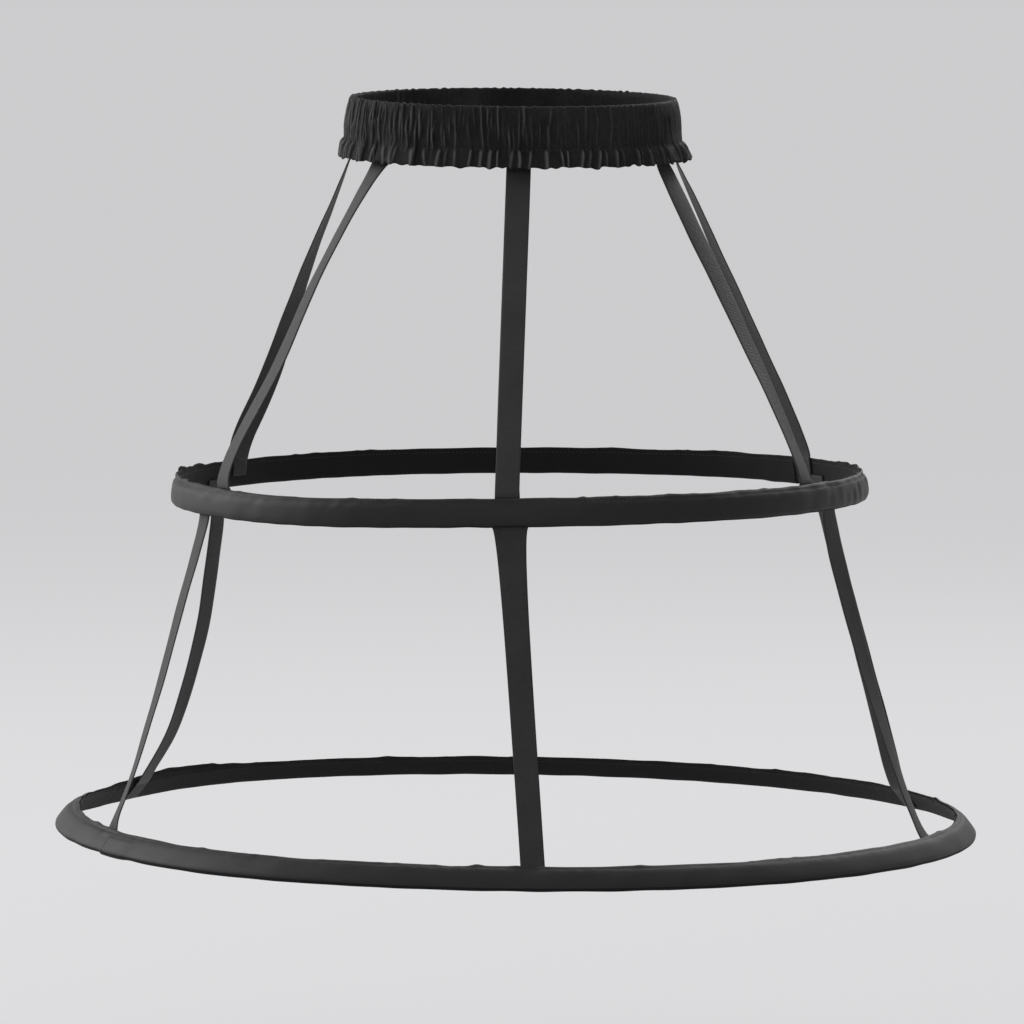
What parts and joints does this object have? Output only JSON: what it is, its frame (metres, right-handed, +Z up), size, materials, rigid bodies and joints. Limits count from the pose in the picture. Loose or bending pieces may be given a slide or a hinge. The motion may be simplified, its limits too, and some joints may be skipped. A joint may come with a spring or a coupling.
{
  "type": "crinoline cage",
  "caption": "Black hoop-skirt cage: a shirred elastic waistband, flat tapes and cloth-cased spring hoops that hold a skirt out from the body.",
  "frame": {"origin": "middle of the waist opening, at half the height of the waistband", "axes": "+Z up along the waist opening, -Y towards the front of the cage, +X to the viewer's right"},
  "size_m": [0.7108, 0.7109, 0.5767],
  "materials": {
    "waistband_cloth": "shirred black cotton, matt with a faint sheen",
    "casing_cloth": "plain-woven black cloth, satin",
    "tape": "flat black woven tape",
    "elastic": "knitted black elastic",
    "bone": "white coated spring strip",
    "joiner": "crimped steel sleeve"
  },
  "bodies": {
    "root": {"waistband_casing": "waistband_cloth", "waist_elastic": "elastic", "upper_hoop_casing": "casing_cloth", "upper_hoop_bone": "bone", "upper_hoop_joiner": "joiner", "lower_hoop_casing": "casing_cloth", "lower_hoop_bone": "bone", "lower_hoop_joiner": "joiner", "upper_tape_front": "tape", "upper_tape_front_left": "tape", "upper_tape_back_left": "tape", "upper_tape_back": "tape", "upper_tape_back_right": "tape", "upper_tape_front_right": "tape", "lower_tape_front": "tape", "lower_tape_front_left": "tape", "lower_tape_back_left": "tape", "lower_tape_back": "tape", "lower_tape_back_right": "tape", "lower_tape_front_right": "tape"}
  },
  "joints": []
}
